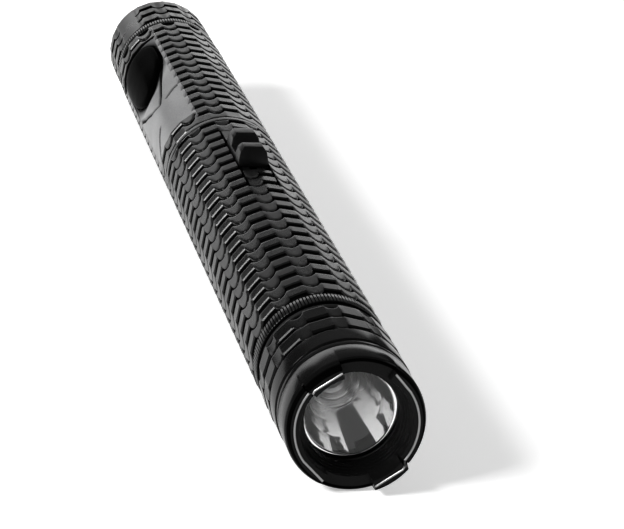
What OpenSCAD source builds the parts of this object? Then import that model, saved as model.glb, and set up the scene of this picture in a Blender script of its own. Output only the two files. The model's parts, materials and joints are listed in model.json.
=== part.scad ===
// Tactical flashlight, lying on its side.
// The beam leaves towards -Y, the tail points to +Y and the slide switch is on top.
// Stations along the light are measured from the joint between head and body,
// negative towards the lens and positive towards the tail.

/* [Barrel] */
// Radius over the ribs
barrel_r = 20; // [19.5:0.1:20.5]
// Radius of the bore that holds the batteries
bore_r = 16; // [15.9:0.05:16.1]
// Distance from one rib to the next on the front body
front_pitch = 8.22; // [8.2:0.01:8.25]
// Distance from one rib to the next on the rear body
rear_pitch = 8.4; // [8.3:0.05:8.5]
// Width of the groove between two ribs
groove_w = 3.2; // [2:0.2:3.2]
// Depth of the groove between two ribs
groove_d = 0.9; // [0.4:0.1:1.1]
// Where the front body ends
front_body_end = 173.4; // [173:0.1:173.6]
// Where the rear body's ribs end
rear_body_end = 302; // [301.6:0.1:302.4]

/* [Head] */
// Front of the long lips of the bezel
lip_front = -44; // [-44.5:0.1:-43.5]
// Front of the short teeth of the bezel
tooth_front = -46.4; // [-47:0.1:-46]
// Rim of the bezel between its lips
bezel_rim = -42.2; // [-42.6:0.1:-41.8]
// Joint between bezel and head
bezel_back = -32.6; // [-32.8:0.1:-32.6]
// Radius of the bezel
bezel_r = 19.64; // [19.4:0.02:19.8]
// Radius of the reflector's mouth
mouth_r = 12.4; // [12:0.1:12.6]
// Focal length of the reflector
focal = 1.6; // [1.55:0.01:1.65]

/* [Tail] */
// End of the tail cap
tail_end = 334.8; // [332:0.2:338]
// Radius of the tail cap
cap_r = 19.74; // [19.4:0.02:19.8]

/* [Slide switch] */
// Front of the knob at rest
knob_y = 125.5; // [125:0.1:126]
// Length of the knob
knob_l = 23.5; // [22:0.5:24]
// Width of the knob at its foot
knob_w = 9.6; // [9:0.1:9.8]
// Height of the knob above the axis
knob_top = 25; // [24:0.1:26]

/* [Push button] */
// Direction of the button, in degrees from the top towards -X
button_rho = 67.5; // [66:0.5:69]
// Half width of the button
button_half_w = 10.2; // [9.5:0.1:10.2]
// Top of the button above the axis
button_top = 19.95; // [19.6:0.05:20]

/* [Battery] */
// Radius of one cell
cell_r = 9.2; // [9:0.05:9.2]
// Length of one cell
cell_l = 65; // [64.5:0.1:65]
// Height of the cells' axis
cell_z = -5; // [-5.1:0.05:-4.9]
// Sideways place of the cells' axis
cell_x = 0.8; // [0.5:0.1:1]

/* [Hidden] */
$fn = 96;

mid_y = (tail_end + tooth_front - 0.35) / 2; // middle of the whole light
strip_t = 0.35;        // how far a bezel strip stands above its lip
strip_w = 0.6;         // width of a bezel strip
strip_r = 17.2;        // radius at which the strips run
cavity_r = 15.4;       // mouth of the bezel's cavity
bezel_neck_r = 17.6;   // thread of the bezel
bezel_neck_end = -24;
lens_r = 14.6;
lens_pocket_r = 15;
lens_front = -34.6;
lens_back = bezel_back;
lens_lip_front = -37.4;
lens_lip_back = -36;
lens_lip_r = 13.3;
left_lip = [54.5, 153.5];   // angles of the long lip on the left
right_lip = [54.5, 149.5];  // angles of the long lip on the right, turned by 180
left_tooth = [18.5, 52.5];  // angles of the short tooth on the left
strip_bend = 126;           // where the left strip turns from arc to chord

head_end = -3.7;
head_collar_r = 19.8;
head_thread_r = 17.66;
body_neck_r = 17.8;
body_neck_front = -11.7;
ring_front = 0.2;      // knurled ring behind the head
ring_back = 6.1;
ring_r = 19.7;         // radius over the knurled rings
first_groove = 7.4;    // middle of the first groove of the front body
front_grooves = 20;
rear_first_groove = 185.2;
rear_grooves = 14;
rear_body_start = 177;
joint_r = 17.45;       // neck of the rear body inside the front body
joint_front = 165;
thread_bore_r = 17;    // tail thread in the rear body
thread_start = 290;
tail_ring_end = 307.9;
cap_start = 308.2;
cap_grooves = [318.9, 327.7]; // middles of the two grooves behind the cap's first band

insert_y = [103.3, 161.7];  // stem of the switch insert
recess_y = [119, 152];      // recess that the knob slides in
recess_z = 18.3;
pocket_y = [121.8, 144.2];  // pocket for the electrical switch
tang_y = [131, 137];        // actuator between knob and switch
ball_y = 129;

panel_y = [189, 289.2];
panel_half_w = 11.6;
panel_r = 19.2;
panel_inner_r = 17;
button_outline = [[2, 240], [4.6, 244], [6.9, 250], [9, 257.5], [button_half_w, 267],
                  [button_half_w, 280], [8.4, 285], [5.5, 287.2]];
button_mid_y = 263.6;
button_half_l = 23.6;
button_travel = 1;
board_z = [10.6, 11.8];
switch_mid_y = 262;
button_inner_r = 14.9;   // underside of the button
screw_y = [200, 226];

carrier_r = 15.6;
carrier_y = [14, 279.4];
cell_start = 16.4;
cell_gap = 0.05;
tail_bore_r = 14.5;
tail_floor = 329.3;

// ---- helpers ----

// Places a part that is drawn around the light's own axis.
module light() {
    translate([0, -mid_y, barrel_r]) children();
}

// Solid of revolution about the light's axis from points [radius, station].
module turned(points) {
    rotate([-90, 0, 0]) rotate_extrude() polygon(points);
}

// Cylinder about the light's axis between two stations.
module round_y(y0, y1, r) {
    translate([0, y0, 0]) rotate([-90, 0, 0]) cylinder(h = y1 - y0, r = r);
}

// Ring about the light's axis between two stations.
module ring_y(y0, y1, r_out, r_in) {
    difference() {
        round_y(y0, y1, r_out);
        round_y(y0 - 1, y1 + 1, r_in);
    }
}

// Rubber ring of round section.
module oring(y, r, section) {
    translate([0, y, 0]) rotate([-90, 0, 0])
        rotate_extrude() translate([r, 0]) circle(r = section, $fn = 32);
}

// Box from its lowest corner to its highest corner.
module box(low, high) {
    translate(low) cube(high - low);
}

// Direction at an angle from the top towards -X, as [x, z].
function toward(rho, r) = [-r * sin(rho), r * cos(rho)];

// Wedge of space between two angles and two stations.
module sector(rho, y0, y1) {
    far = [for (k = [0:4]) toward(rho[0] + (rho[1] - rho[0]) * k / 4, 30)];
    translate([0, y1, 0]) rotate([90, 0, 0])
        linear_extrude(height = y1 - y0) polygon(concat([[0, 0]], far));
}

// Straight bar between two angles and radii on a front face.
module bar(rho0, r0, rho1, r1, y0, y1) {
    a = toward(rho0, r0);
    b = toward(rho1, r1);
    d = (b - a) / norm(b - a) * 1;
    n = [-d[1], d[0]] * strip_w / 2;
    translate([0, y1, 0]) rotate([90, 0, 0])
        linear_extrude(height = y1 - y0) polygon([a - n, a + n, b + n, b - n]);
}

// Outer points of a ribbed tube: one notch round each groove's middle.
function notches(middles, r, depth) = [
    for (y = middles)
        each [[r, y - groove_w / 2], [r - depth, y - groove_w / 2],
              [r - depth, y + groove_w / 2], [r, y + groove_w / 2]]
];

// Turns a part drawn with its outside towards +Z to the button's side.
module at_button() {
    rotate([0, -button_rho, 0]) children();
}

// Outline of the button, drawn larger by grow all round.
module button_shape(grow, z0, z1) {
    right = [for (p = button_outline) p];
    left = [for (k = [len(button_outline) - 1:-1:0]) [-button_outline[k][0], button_outline[k][1]]];
    translate([0, button_mid_y, z0])
        linear_extrude(height = z1 - z0)
            scale([(button_half_w + grow) / button_half_w, (button_half_l + grow) / button_half_l])
                translate([0, -button_mid_y]) polygon(concat(right, left));
}

// Coil spring along +Z from the origin.
module coil(r, wire, height, turns) {
    sides = 6;
    steps = turns * 12;
    rise = (height - 2 * wire) / steps;
    points = [
        for (k = [0:steps]) for (j = [0:sides - 1])
            let (t = 30 * k, u = 360 * j / sides, q = r + wire * cos(u))
                [q * cos(t), q * sin(t), wire + rise * k + wire * sin(u)]
    ];
    walls = [
        for (k = [0:steps - 1]) for (j = [0:sides - 1])
            let (n = (j + 1) % sides)
                [k * sides + j, (k + 1) * sides + j, (k + 1) * sides + n, k * sides + n]
    ];
    ends = [[for (j = [0:sides - 1]) j], [for (j = [sides - 1:-1:0]) steps * sides + j]];
    polyhedron(points = points, faces = concat(walls, ends));
}

// Straight lead between two points.
module lead(a, b, r) {
    d = b - a;
    translate(a) rotate([0, acos(d[2] / norm(d)), atan2(d[1], d[0])])
        cylinder(h = norm(d), r = r, $fn = 24);
}

// ---- head ----

// Threaded front ring with a cavity in front of the lens.
module bezel_body() {
    turned([
        [cavity_r, bezel_rim], [bezel_r - 0.6, bezel_rim], [bezel_r, bezel_rim + 0.8],
        [bezel_r, bezel_back], [bezel_neck_r, bezel_back], [bezel_neck_r, bezel_neck_end],
        [lens_pocket_r, bezel_neck_end], [lens_pocket_r, lens_lip_back],
        [lens_lip_r, lens_lip_back], [lens_lip_r, lens_lip_front], [13.7, lens_lip_front - 0.8],
        [14.6, bezel_rim + 2.2], [cavity_r, bezel_rim + 1.6]
    ]);
}

// One long lip and one short tooth on the left half of the rim.
module bezel_lips(lip) {
    intersection() {
        ring_y(lip_front, bezel_rim + 0.8, bezel_r - 0.04, cavity_r + 0.2);
        sector(lip, lip_front - 1, bezel_rim + 1);
    }
    intersection() {
        ring_y(tooth_front, bezel_rim + 0.8, bezel_r - 0.04, cavity_r + 0.2);
        sector(left_tooth, tooth_front - 1, bezel_rim + 1);
    }
}

module bezel_ring() color([0.05, 0.05, 0.055]) light() {
    union() {
        bezel_body();
        bezel_lips(left_lip);
        rotate([0, 180, 0]) bezel_lips(right_lip);
    }
}

// Bright strip on a lip and its tooth: an arc and two chords.
module strip(lip) {
    union() {
        intersection() {
            ring_y(lip_front - strip_t, lip_front, strip_r + strip_w / 2, strip_r - strip_w / 2);
            sector([left_lip[0] + 0.5, strip_bend], lip_front - 1, lip_front + 1);
        }
        bar(strip_bend, strip_r, lip[1] - 1, strip_r + 0.7, lip_front - strip_t, lip_front);
    }
    bar(left_tooth[0] + 1, strip_r + 0.4, left_tooth[1] - 0.5, strip_r + 0.4,
        tooth_front - strip_t, tooth_front);
}

module bezel_strip_left() color("silver") light() strip(left_lip);

module bezel_strip_right() color("silver") light() rotate([0, 180, 0]) strip(right_lip);

module lens() color([0.8, 0.85, 0.9, 0.4]) light() {
    round_y(lens_front, lens_back, lens_r);
}

module lens_oring() color([0.1, 0.1, 0.1]) light() {
    oring(lens_front - 0.7, 13.9, 0.68);
}

// Parabolic bowl with a flange at its mouth and a collar at its foot.
module reflector() color("whitesmoke") light() {
    depth = mouth_r * mouth_r / (4 * focal);
    vertex = bezel_back + 0.05 + depth;
    foot_r = 3.6;
    foot = foot_r * foot_r / (4 * focal);
    steps = 14;
    wall = 1.3;
    bowl = [
        for (k = [0:steps])
            let (r = foot_r + (mouth_r - foot_r) * k / steps)
                [r, vertex - r * r / (4 * focal)]
    ];
    back = [
        for (k = [steps - 2:-1:3])
            let (r = foot_r + (mouth_r - foot_r) * k / steps)
                [r + wall, vertex - r * r / (4 * focal) + 0.4]
    ];
    turned(concat(
        [[foot_r, vertex + 0.2]], bowl,
        [[lens_r, bezel_back + 0.05], [lens_r, bezel_back + 1.6]], back,
        [[8.6, vertex - foot - 0.8], [8.6, vertex + 0.2]]
    ));
}

module led_emitter() color("khaki") light() {
    box([-2.5, -9.1, -2.5], [2.5, -8.3, 2.5]);
    intersection() {
        translate([0, -9.1, 0]) sphere(r = 1.9);
        box([-3, -12, -3], [3, -9.1, 3]);
    }
}

module led_board() color("white") light() {
    round_y(-8.3, -6.7, 8.8);
}

module heat_sink() color("lightgray") light() {
    turned([
        [0, -6.7], [9.2, -6.7], [9.2, -13.8], [bezel_neck_r, -13.8], [bezel_neck_r, -11.8],
        [bore_r - 0.2, -11.8], [bore_r - 0.2, 4], [13.2, 4], [13.2, 0.4], [0, 0.4]
    ]);
}

module driver_board() color("darkgreen") light() {
    round_y(0.4, 2, 12.9);
}

module driver_contact() color("gold") light() {
    translate([0, 2, 0]) rotate([-90, 0, 0]) coil(4.5, 0.5, 12.5, 4);
}

module head_housing() color([0.07, 0.07, 0.075]) light() {
    turned([
        [head_thread_r, bezel_back + 0.4], [head_collar_r, bezel_back + 0.4],
        [head_collar_r, -21.6], [barrel_r - groove_d, -21.6], [barrel_r - groove_d, -19.3],
        [barrel_r, -19.3], [barrel_r, -13], [barrel_r - groove_d, -13],
        [barrel_r - groove_d, -10.3], [barrel_r, -10.3], [barrel_r, head_end],
        [body_neck_r + 0.06, head_end], [body_neck_r + 0.06, -14], [15.2, -14],
        [15.2, -23], [head_thread_r, -23]
    ]);
}

module head_oring() color([0.1, 0.1, 0.1]) light() {
    oring(-1.8, body_neck_r + 0.76, 0.74);
}

// ---- bodies ----

module knurled_ring(y0, y1, r_in) {
    turned([
        [r_in, y0], [ring_r - 0.4, y0], [ring_r, y0 + 0.4], [ring_r, y1 - 0.4],
        [ring_r - 0.4, y1], [r_in, y1]
    ]);
}

module front_knurled_ring() color([0.12, 0.12, 0.125]) light() {
    knurled_ring(ring_front, ring_back - 0.02, body_neck_r + 0.02);
}

module front_body() color([0.1, 0.1, 0.105]) light() {
    difference() {
        turned(concat(
            [[bore_r, body_neck_front], [body_neck_r, body_neck_front],
             [body_neck_r, ring_back], [barrel_r - groove_d, ring_back]],
            [[barrel_r - groove_d, first_groove + groove_w / 2],
             [barrel_r, first_groove + groove_w / 2]],
            notches([for (k = [1:front_grooves - 1]) first_groove + k * front_pitch],
                    barrel_r, groove_d),
            [[barrel_r, front_body_end - 2.9], [barrel_r - groove_d, front_body_end - 2.9],
             [barrel_r - groove_d, front_body_end], [joint_r + 0.05, front_body_end],
             [joint_r + 0.05, joint_front - 1], [bore_r, joint_front - 1]]
        ));
        box([-5.4, 103, 10], [5.4, 162, 30]);
    }
}

module joint_ring() color([0.12, 0.12, 0.125]) light() {
    ring_y(front_body_end + 0.05, rear_body_start - 0.05, barrel_r - 0.1, joint_r + 0.05);
}

module rear_body() color([0.12, 0.12, 0.125]) light() {
    difference() {
        turned(concat(
            [[bore_r, joint_front], [joint_r, joint_front], [joint_r, rear_body_start],
             [barrel_r, rear_body_start]],
            notches([for (k = [0:rear_grooves - 1]) rear_first_groove + k * rear_pitch],
                    barrel_r, groove_d),
            [[barrel_r, rear_body_end], [body_neck_r, rear_body_end],
             [body_neck_r, tail_ring_end], [thread_bore_r, tail_ring_end],
             [thread_bore_r, thread_start], [bore_r, thread_start]]
        ));
        at_button() intersection() {
            box([-panel_half_w, panel_y[0], 5], [panel_half_w, panel_y[1], 30]);
            ring_y(panel_y[0] - 1, panel_y[1] + 1, 30, panel_inner_r);
        }
        at_button() box([-11.3, 194, 5], [11.3, 288.4, 30]);
    }
}

module rear_knurled_ring() color([0.14, 0.14, 0.145]) light() {
    knurled_ring(rear_body_end + 0.02, tail_ring_end, body_neck_r + 0.02);
}

// Curved cover that carries the push button and the button's board.
module side_panel() color([0.1, 0.1, 0.105]) light() at_button() {
    difference() {
        union() {
            intersection() {
                ring_y(panel_y[0] + 0.05, panel_y[1] - 0.05, panel_r, panel_inner_r + 0.04);
                box([-panel_half_w + 0.05, panel_y[0], 5], [panel_half_w - 0.05, panel_y[1], 30]);
            }
            for (y = screw_y) translate([0, y, board_z[1]]) cylinder(h = 6, r = 2, $fn = 32);
        }
        button_shape(0.35, 5, 30);
        for (y = screw_y) translate([0, y, board_z[1] - 1]) cylinder(h = 4.5, r = 0.85, $fn = 24);
    }
}

// ---- push button ----

module push_button() color([0.02, 0.02, 0.02]) light() at_button() {
    difference() {
        union() {
            intersection() {
                button_shape(0, 5, 30);
                ring_y(230, 292, button_top, button_inner_r);
            }
            intersection() {
                button_shape(0.8, 5, 30);
                ring_y(230, 292, button_inner_r + 1, button_inner_r);
            }
        }
        box([-4.6, switch_mid_y - 5, 5], [4.6, switch_mid_y + 5, button_inner_r + 0.02]);
    }
}

module button_seal() color([0.08, 0.08, 0.08]) light() at_button() {
    intersection() {
        difference() {
            button_shape(0.9, 5, 30);
            button_shape(0.4, 4, 31);
        }
        ring_y(230, 292, 16.95, 16.2);
    }
}

module button_plunger() color("ivory") light() at_button() {
    translate([0, switch_mid_y, 13.2]) cylinder(h = 1.65, r = 1.5, $fn = 32);
}

module button_switch() color([0.2, 0.2, 0.2]) light() at_button() {
    difference() {
        box([-2.25, switch_mid_y - 2.25, board_z[1]], [2.25, switch_mid_y + 2.25, 13.7]);
        translate([0, switch_mid_y, board_z[1] + 0.2]) cylinder(h = 5, r = 1.6, $fn = 32);
    }
}

module button_spring() color("silver") light() at_button() {
    translate([0, switch_mid_y, board_z[1]]) coil(3.85, 0.25, 3.05, 3);
}

module button_board() color("darkgreen") light() at_button() {
    difference() {
        box([-4.2, 196, board_z[0]], [6, 272, board_z[1]]);
        for (y = screw_y) translate([0, y, 5]) cylinder(h = 10, r = 0.9, $fn = 24);
    }
}

module button_board_screws() color("silver") light() at_button() {
    for (y = screw_y) union() {
        translate([0, y, board_z[0] - 1]) cylinder(h = 1, r = 1.6, $fn = 24);
        translate([0, y, board_z[0] - 1]) cylinder(h = 5, r = 0.75, $fn = 24);
    }
}

module button_leads() color("firebrick") light() {
    end = toward(button_rho, 11.2);
    for (k = [0:1])
        lead([-5.5 - 2 * k, 165.02, 11.9], [end[0] + 0.8 - 0.4 * k, 195.98, end[1] + 1.8 - k * 1.6], 0.45);
}

// ---- slide switch ----

// Plate let into the top of the front body, with the recess the knob slides in.
module switch_insert() color([0.1, 0.1, 0.105]) light() {
    difference() {
        union() {
            intersection() {
                round_y(insert_y[0], insert_y[1], barrel_r - 0.1);
                box([-4.6, insert_y[0], 13.8], [4.6, insert_y[1], 30]);
            }
            box([-7.4, 101, 12.6], [7.4, 163, 13.9]);
        }
        box([-6, recess_y[0], recess_z], [6, recess_y[1], 30]);
        box([-3.7, pocket_y[0], 10], [3.7, pocket_y[1], 17]);
        box([-1.3, tang_y[0] - 7.5, 10], [1.3, tang_y[1] + 1.5, 30]);
        for (k = [12:13]) translate([0, first_groove + front_pitch * k, 0])
            difference() {
                box([-6, -groove_w / 2, 10], [6, groove_w / 2, 30]);
                round_y(-groove_w, groove_w, barrel_r - groove_d);
            }
        for (k = [0:2]) translate([0, ball_y - 3 * k, recess_z + 0.45]) sphere(r = 0.8, $fn = 32);
    }
}

// Thumb knob with two tall ridges across it.
module slide_knob() color([0.04, 0.04, 0.04]) light() {
    foot = recess_z + 0.3;
    low = 20.8;
    back = knob_y + knob_l;
    side = [
        [knob_y, foot], [knob_y + 0.3, 21], [knob_y + 0.9, knob_top - 0.6], [knob_y + 1.5, knob_top],
        [knob_y + 5.9, knob_top], [knob_y + 6.5, knob_top - 0.6], [knob_y + 7.4, low + 0.4],
        [knob_y + 8, low], [back - 8.8, low], [back - 8.2, low + 0.4], [back - 7.4, knob_top - 0.6],
        [back - 6.8, knob_top], [back - 1.6, knob_top], [back - 1, knob_top - 0.6], [back, foot]
    ];
    across = [
        [-knob_w / 2, foot], [knob_w / 2, foot], [knob_w / 2, 21], [knob_w / 2 - 0.5, 23.6],
        [knob_w / 2 - 1.6, knob_top], [1.6 - knob_w / 2, knob_top], [0.5 - knob_w / 2, 23.6],
        [-knob_w / 2, 21]
    ];
    difference() {
        intersection() {
            translate([-knob_w / 2, 0, 0]) rotate([90, 0, 90])
                linear_extrude(height = knob_w) polygon(side);
            translate([0, back, 0]) rotate([90, 0, 0])
                linear_extrude(height = knob_l) polygon(across);
        }
        translate([0, ball_y, foot - 1]) cylinder(h = 5.6, r = 0.9, $fn = 32);
    }
}

// Tongue under the knob that works the electrical switch.
module slide_actuator() color([0.04, 0.04, 0.04]) light() {
    box([-0.9, tang_y[0], 14.5], [0.9, tang_y[1], recess_z + 0.3]);
}

module detent_ball() color("silver") light() {
    translate([0, ball_y, recess_z + 0.88]) sphere(r = 0.8, $fn = 48);
}

module detent_spring() color("silver") light() {
    translate([0, ball_y, recess_z + 1.7]) coil(0.6, 0.15, 3.1, 5);
}

module slide_switch_body() color("dimgray") light() {
    difference() {
        box([-3.5, 122, 12.5], [3.5, 144, 16.8]);
        box([-1.3, tang_y[0] - 7, 14.2], [1.3, tang_y[1] + 1, 20]);
    }
}

module switch_board() color("darkgreen") light() {
    box([-8.6, 95, 11.2], [8.6, 165, 12.5]);
}

module switch_leads() color("firebrick") light() {
    for (x = [-3, 3]) translate([x, 0, 11.85]) round_y(2.02, 94.98, 0.6);
}

// ---- battery ----

module battery_cell(k) {
    start = cell_start + k * (cell_l + cell_gap);
    translate([cell_x, 0, cell_z]) union() {
        round_y(start + 0.8, start + cell_l, cell_r);
        round_y(start, start + 1.2, 3);
    }
}

module battery_cell_1() color("steelblue") light() battery_cell(0);

module battery_cell_2() color("steelblue") light() battery_cell(1);

module battery_cell_3() color("steelblue") light() battery_cell(2);

module battery_cell_4() color("steelblue") light() battery_cell(3);

// Open trough that holds the four cells in line.
module battery_carrier() color("darkslategray") light() {
    difference() {
        union() {
            intersection() {
                round_y(carrier_y[0], carrier_y[1], carrier_r);
                box([-20, carrier_y[0], -20], [20, carrier_y[1], 0]);
            }
            for (y = [carrier_y[0], carrier_y[1] - 2.2]) box([-8, y, -1], [8, y + 2.2, 6.5]);
        }
        translate([cell_x, 0, cell_z]) round_y(cell_start - 0.2, carrier_y[1] - 2.2, cell_r + 0.2);
        box([cell_x - 7.8, cell_start - 0.2, -5], [cell_x + 7.8, carrier_y[1] - 2.2, 1]);
        round_y(0, 300, 6.02);
        at_button() box([-20, 190, 8.5], [20, 300, 30]);
    }
}

module front_cell_contact() color("gold") light() {
    round_y(14.52, cell_start - 0.02, 6);
}

module rear_cell_contact() color("gold") light() {
    round_y(carrier_y[1] - 2.7, carrier_y[1], 6);
}

// ---- tail ----

module tail_spring() color("silver") light() {
    translate([0, carrier_y[1] + 0.05, 0]) rotate([-90, 0, 0]) coil(4.6, 0.6, 19.5, 5);
}

module tail_contact() color("gold") light() {
    round_y(299, 300, 8);
}

// Insulating cup behind the tail contact.
module tail_insulator() color("beige") light() {
    turned([
        [0, 300], [14.1, 300], [14.1, tail_floor - 0.3], [12.4, tail_floor - 0.3], [12.4, 302],
        [0, 302]
    ]);
}

module tail_cap() color([0.14, 0.14, 0.145]) light() {
    turned(concat([
        [tail_bore_r, 294], [16.94, 294], [16.94, 303.4], [15.4, 303.4], [15.4, 305.4],
        [16.94, 305.4], [16.94, cap_start], [cap_r - groove_d, cap_start],
        [cap_r - groove_d, cap_start + 3], [cap_r, cap_start + 3]
    ], notches(cap_grooves, cap_r, groove_d), [
        [cap_r, tail_end - 1.2], [cap_r - 1.2, tail_end], [0, tail_end],
        [0, tail_floor], [tail_bore_r, tail_floor]
    ]));
}

module tail_oring() color([0.1, 0.1, 0.1]) light() {
    oring(304.4, 16.2, 0.7);
}

bezel_ring();
bezel_strip_left();
bezel_strip_right();
lens();
lens_oring();
reflector();
led_emitter();
led_board();
heat_sink();
driver_board();
driver_contact();
head_housing();
head_oring();
front_knurled_ring();
front_body();
joint_ring();
rear_body();
rear_knurled_ring();
side_panel();
push_button();
button_seal();
button_plunger();
button_switch();
button_spring();
button_board();
button_board_screws();
button_leads();
switch_insert();
slide_knob();
slide_actuator();
detent_ball();
detent_spring();
slide_switch_body();
switch_board();
switch_leads();
battery_cell_1();
battery_cell_2();
battery_cell_3();
battery_cell_4();
battery_carrier();
front_cell_contact();
rear_cell_contact();
tail_spring();
tail_contact();
tail_insulator();
tail_cap();
tail_oring();
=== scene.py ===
"""Looks of a ribbed tactical flashlight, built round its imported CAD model.

Shapes are worked out in millimetres round the light's own axis. A station is a distance along the
axis from the joint between head and body, negative towards the lens and positive towards the tail.
An angle is measured round the axis in degrees, from the top towards -X.
"""

import json
import math

import bmesh
import bpy
import numpy as np
from mathutils import Matrix, Vector


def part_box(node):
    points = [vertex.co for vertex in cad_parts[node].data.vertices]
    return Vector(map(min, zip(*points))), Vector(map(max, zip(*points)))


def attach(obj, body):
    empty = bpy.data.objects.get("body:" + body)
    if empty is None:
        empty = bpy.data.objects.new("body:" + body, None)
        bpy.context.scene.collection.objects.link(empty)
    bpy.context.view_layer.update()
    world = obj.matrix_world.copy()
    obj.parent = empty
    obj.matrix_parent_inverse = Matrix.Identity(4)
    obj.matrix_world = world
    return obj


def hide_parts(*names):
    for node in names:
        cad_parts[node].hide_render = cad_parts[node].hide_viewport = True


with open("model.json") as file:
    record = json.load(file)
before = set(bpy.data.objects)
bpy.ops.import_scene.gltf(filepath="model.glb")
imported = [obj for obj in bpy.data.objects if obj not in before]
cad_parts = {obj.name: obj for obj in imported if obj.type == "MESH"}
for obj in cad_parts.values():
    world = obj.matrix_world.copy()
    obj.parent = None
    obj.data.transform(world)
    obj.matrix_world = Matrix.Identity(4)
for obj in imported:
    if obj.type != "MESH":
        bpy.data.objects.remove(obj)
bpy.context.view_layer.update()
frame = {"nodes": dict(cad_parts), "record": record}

# ---- places taken from the frame ----

MM = 0.001
RING_GAP = 0.2  # from the head joint to the knurled ring behind it
body_low, body_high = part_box("rear_body")
AXIS_Z = (body_low.z + body_high.z) / 2
BARREL_R = (body_high.z - body_low.z) / 2 / MM
JOINT_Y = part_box("front_knurled_ring")[0].y - RING_GAP * MM


def span(node):
    """First and last station of a CAD node."""
    low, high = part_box(node)
    return (low.y - JOINT_Y) / MM, (high.y - JOINT_Y) / MM


def place(station, radius, angle):
    """Points of the frame, in metres, from stations, radii and angles."""
    turn = np.radians(angle)
    s, x, z = np.broadcast_arrays(station, -radius * np.sin(turn), radius * np.cos(turn))
    return np.stack([x * MM, JOINT_Y + s * MM, AXIS_Z + z * MM], axis=-1)


def place_beside(across, station, height, angle):
    """Points of the frame from a place across and a height, both square to a direction round the axis."""
    turn = math.radians(angle)
    x = -height * math.sin(turn) + across * math.cos(turn)
    z = height * math.cos(turn) + across * math.sin(turn)
    s, x, z = np.broadcast_arrays(station, x, z)
    return np.stack([x * MM, JOINT_Y + s * MM, AXIS_Z + z * MM], axis=-1)


# ---- materials ----

def node_material(name, colour, rough, metal=0.0, coat=0.0, transmission=0.0, ior=1.5, specular=0.5):
    """A Principled material and its nodes; constants sit on the shader's own sockets."""
    material = bpy.data.materials.new(name)
    material.use_nodes = True
    tree = material.node_tree
    shader = tree.nodes["Principled BSDF"]
    shader.inputs["Base Color"].default_value = (*colour, 1)
    shader.inputs["Roughness"].default_value = rough
    shader.inputs["Metallic"].default_value = metal
    shader.inputs["Coat Weight"].default_value = coat
    shader.inputs["Coat Roughness"].default_value = 0.08
    shader.inputs["Transmission Weight"].default_value = transmission
    shader.inputs["IOR"].default_value = ior
    shader.inputs["Specular IOR Level"].default_value = specular
    return material, tree, shader


def noise(tree, scale, detail=3.0, stretch=None):
    """Noise in the part's own coordinates; stretch scales it along the three axes."""
    coordinates = tree.nodes.new("ShaderNodeTexCoord")
    texture = tree.nodes.new("ShaderNodeTexNoise")
    texture.inputs["Scale"].default_value = scale
    texture.inputs["Detail"].default_value = detail
    source = coordinates.outputs["Object"]
    if stretch:
        mapping = tree.nodes.new("ShaderNodeMapping")
        mapping.inputs["Scale"].default_value = stretch
        tree.links.new(source, mapping.inputs["Vector"])
        source = mapping.outputs["Vector"]
    tree.links.new(source, texture.inputs["Vector"])
    return texture.outputs["Fac"]


def remap(tree, value, low, high, from_low=0.3, from_high=0.7):
    """A value mapped onto a range."""
    node = tree.nodes.new("ShaderNodeMapRange")
    sockets = ("From Min", "From Max", "To Min", "To Max")
    for socket, number in zip(sockets, (from_low, from_high, low, high)):
        node.inputs[socket].default_value = number
    tree.links.new(value, node.inputs["Value"])
    return node.outputs["Result"]


def blend_colours(tree, factor, first, second):
    """A colour between two colours, each a triple or a socket."""
    node = tree.nodes.new("ShaderNodeMix")
    node.data_type = "RGBA"
    tree.links.new(factor, node.inputs["Factor"])
    for socket, colour in ((node.inputs[6], first), (node.inputs[7], second)):
        if isinstance(colour, tuple):
            socket.default_value = (*colour, 1)
        else:
            tree.links.new(colour, socket)
    return node.outputs[2]


def bump(tree, shader, height, depth):
    """Fine relief of a depth in millimetres."""
    node = tree.nodes.new("ShaderNodeBump")
    node.inputs["Strength"].default_value = 1.0
    node.inputs["Distance"].default_value = depth * MM
    tree.links.new(height, node.inputs["Height"])
    tree.links.new(node.outputs["Normal"], shader.inputs["Normal"])


def distance_from_axis(tree):
    """How far a point lies from the light's axis, in millimetres."""
    coordinates = tree.nodes.new("ShaderNodeTexCoord")
    shift = tree.nodes.new("ShaderNodeVectorMath")
    shift.operation = "MULTIPLY_ADD"
    shift.inputs[1].default_value = (1 / MM, 0, 1 / MM)
    shift.inputs[2].default_value = (0, 0, -AXIS_Z / MM)
    length = tree.nodes.new("ShaderNodeVectorMath")
    length.operation = "LENGTH"
    tree.links.new(coordinates.outputs["Object"], shift.inputs[0])
    tree.links.new(shift.outputs[0], length.inputs[0])
    return length.outputs["Value"]


def textured(name, colour, rough, spread, grain, relief, stretch=None, rough_spread=0.06, **finish):
    """A material whose colour, roughness and relief all vary with one grain."""
    material, tree, shader = node_material(name, colour, rough, **finish)
    field = noise(tree, grain, stretch=stretch)
    darker = tuple(c * (1 - spread) for c in colour)
    lighter = tuple(min(1, c * (1 + spread)) for c in colour)
    mottled = blend_colours(tree, remap(tree, field, 0, 1), darker, lighter)
    tree.links.new(mottled, shader.inputs["Base Color"])
    uneven = remap(tree, field, rough - rough_spread, rough + rough_spread)
    tree.links.new(uneven, shader.inputs["Roughness"])
    if relief:
        bump(tree, shader, noise(tree, grain * 2.3, 2.0, stretch), relief)
    return material


GROOVE_SHADE_FADE = (0.9, 0.7)  # depths below a groove's floor between which its painted shade fades out
EDGE_GAIN = 1.6  # how much lighter worn edges are


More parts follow.
